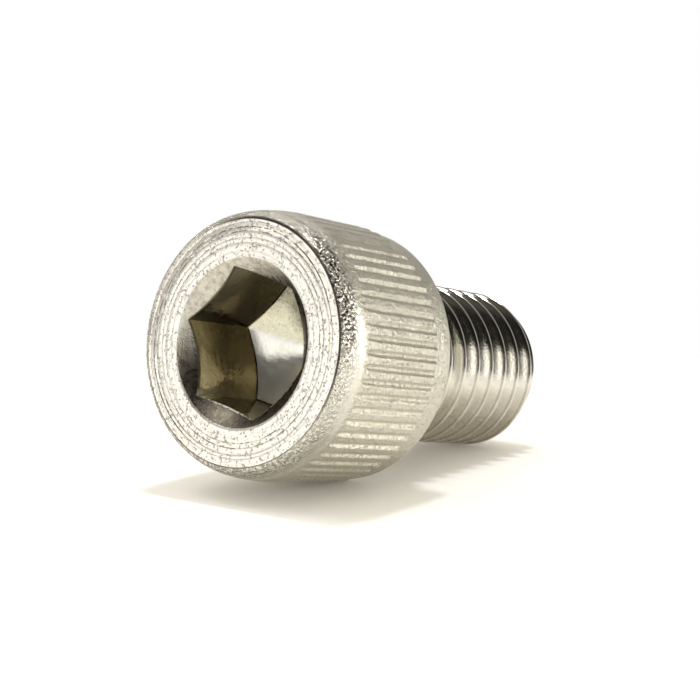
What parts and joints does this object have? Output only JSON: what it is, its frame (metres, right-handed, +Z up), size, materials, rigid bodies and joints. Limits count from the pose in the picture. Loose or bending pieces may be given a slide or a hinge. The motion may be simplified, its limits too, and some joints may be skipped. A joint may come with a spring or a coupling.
{
  "type": "hex socket cap screw",
  "caption": "Thick cap screw with a knurled cylindrical head, a countersunk hexagon socket and a short shank, for clamping parts into a tapped hole.",
  "frame": {"origin": "on the resting surface, under the middle of the screw's bounding box", "axes": "+Z up; the screw lies tilted in the XZ plane on its head's rim and the end of its full shank, with the socket towards -X and the shank's end towards +X, about 10 degrees below level; +Y is across"},
  "size_m": [0.0336, 0.0192, 0.0204],
  "materials": {
    "steel": "bright warm grey stainless steel, turned rings on the top face, matt rolled side and polished thread"
  },
  "bodies": {
    "root": {"cap_screw": "steel"}
  },
  "joints": []
}
